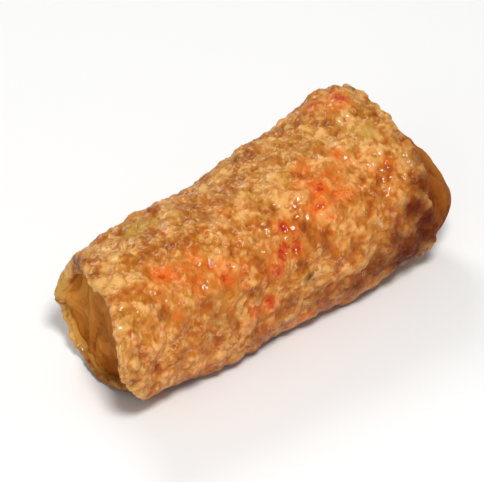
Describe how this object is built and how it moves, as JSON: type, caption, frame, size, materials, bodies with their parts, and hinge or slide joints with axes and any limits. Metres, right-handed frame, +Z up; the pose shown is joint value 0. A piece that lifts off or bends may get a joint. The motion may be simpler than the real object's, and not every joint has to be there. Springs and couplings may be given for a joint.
{
  "type": "bean curd skin roll",
  "caption": "Fried bean curd skin roll: a blistered, flattened and slightly tapering roll of food, with a thin uneven rim around a tucked-in fold at each end, lying on its flat underside.",
  "frame": {"origin": "middle of the underside's bounding box, on the surface that the roll rests on", "axes": "+X runs along the roll from its narrow end to its wide end, -Y is its front, +Z is up"},
  "size_m": [0.084, 0.036, 0.0306],
  "materials": {
    "fried_skin": "oily, blistered, golden brown"
  },
  "bodies": {
    "root": {"roll": "fried_skin"}
  },
  "joints": []
}
